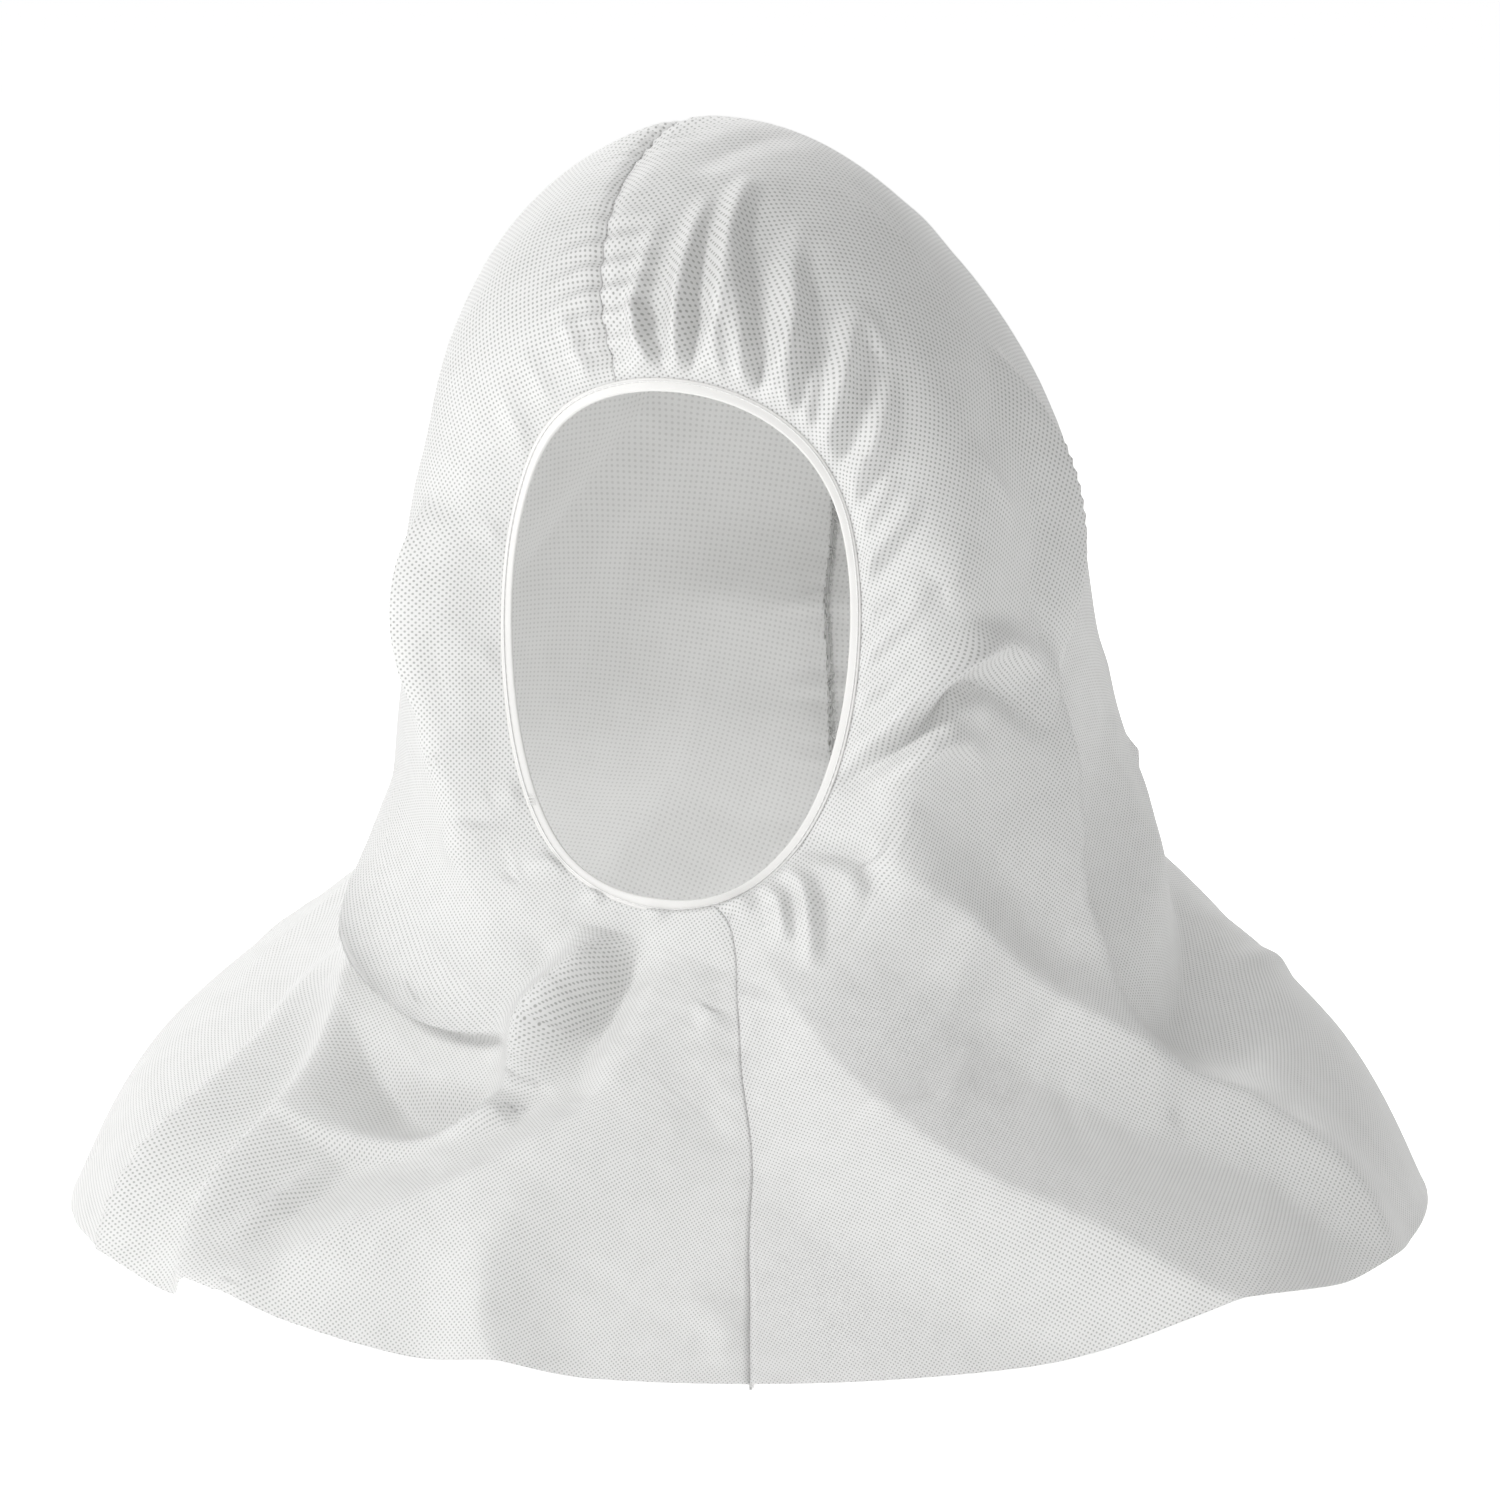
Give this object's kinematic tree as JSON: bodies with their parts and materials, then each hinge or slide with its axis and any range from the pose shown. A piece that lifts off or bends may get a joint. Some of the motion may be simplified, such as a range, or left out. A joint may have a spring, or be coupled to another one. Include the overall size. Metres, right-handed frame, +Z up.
{
  "type": "protective hood",
  "caption": "Pull-over protective hood with a shoulder cape, cut as two mirrored halves of white bonded nonwoven, with an elastic-bound face opening.",
  "frame": {"origin": "centre of the wearer's head, at eye height on the neck axis", "axes": "+Z up, the face looks along -Y, +X towards the wearer's left"},
  "size_m": [0.462, 0.365, 0.4055],
  "materials": {
    "nonwoven_cloth": "matte spunbonded cloth with a fine square dot bond pattern",
    "binding_tape": "smooth soft folded tape, slightly warm white",
    "elastic": "matte flat elastic",
    "sewing_thread": "spun polyester thread"
  },
  "bodies": {
    "root": {"left_panel": "nonwoven_cloth", "right_panel": "nonwoven_cloth", "face_binding": "binding_tape", "face_elastic": "elastic", "binding_needle_thread": "sewing_thread", "binding_looper_thread": "sewing_thread", "binding_tack_thread": "sewing_thread", "front_seam_needle_thread": "sewing_thread", "front_seam_upper_looper_thread": "sewing_thread", "front_seam_lower_looper_thread": "sewing_thread", "back_seam_needle_thread": "sewing_thread", "back_seam_upper_looper_thread": "sewing_thread", "back_seam_lower_looper_thread": "sewing_thread"}
  },
  "joints": []
}
